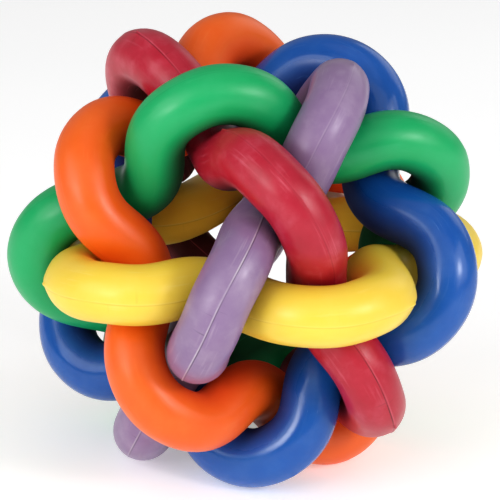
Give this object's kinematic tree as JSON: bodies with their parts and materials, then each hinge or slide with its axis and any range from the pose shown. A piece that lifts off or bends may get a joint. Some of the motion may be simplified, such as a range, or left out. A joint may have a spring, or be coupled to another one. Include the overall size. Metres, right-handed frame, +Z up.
{
  "type": "woven ring ball",
  "caption": "Hollow ball woven from round rubber rings that each pass over and under all the others, with open five-sided windows and a hollow middle.",
  "frame": {"origin": "centre of the ball, where the axes of all the rings cross", "axes": "+Z up, along the yellow ring's axis; +Y is the compass direction that the green ring's axis leans to; +X follows by the right-hand rule"},
  "size_m": [0.0998, 0.0966, 0.088],
  "materials": {
    "yellow_rubber": "satin moulded rubber",
    "red_rubber": "satin moulded rubber",
    "green_rubber": "satin moulded rubber",
    "purple_rubber": "satin moulded rubber with a pale bloom",
    "blue_rubber": "semi-gloss moulded rubber",
    "orange_rubber": "satin moulded rubber"
  },
  "bodies": {
    "yellow_ring": {"yellow_ring": "yellow_rubber"},
    "red_ring": {"red_ring": "red_rubber"},
    "green_ring": {"green_ring": "green_rubber"},
    "purple_ring": {"purple_ring": "purple_rubber"},
    "blue_ring": {"blue_ring": "blue_rubber"},
    "orange_ring": {"orange_ring": "orange_rubber"}
  },
  "joints": [
    {"name": "red_ring_turn", "type": "hinge", "parent": "yellow_ring", "child": "red_ring", "pos_m": [0, 0, 0], "axis": [0.8507, 0.2764, 0.4472], "range_deg": [-1, 1]},
    {"name": "green_ring_turn", "type": "hinge", "parent": "yellow_ring", "child": "green_ring", "pos_m": [0, 0, 0], "axis": [0, 0.8944, 0.4472], "range_deg": [-1, 1]},
    {"name": "purple_ring_turn", "type": "hinge", "parent": "yellow_ring", "child": "purple_ring", "pos_m": [0, 0, 0], "axis": [-0.8507, 0.2764, 0.4472], "range_deg": [-1, 1]},
    {"name": "blue_ring_turn", "type": "hinge", "parent": "yellow_ring", "child": "blue_ring", "pos_m": [0, 0, 0], "axis": [-0.5257, -0.7236, 0.4472], "range_deg": [-1, 1]},
    {"name": "orange_ring_turn", "type": "hinge", "parent": "yellow_ring", "child": "orange_ring", "pos_m": [0, 0, 0], "axis": [0.5257, -0.7236, 0.4472], "range_deg": [-1, 1]}
  ]
}
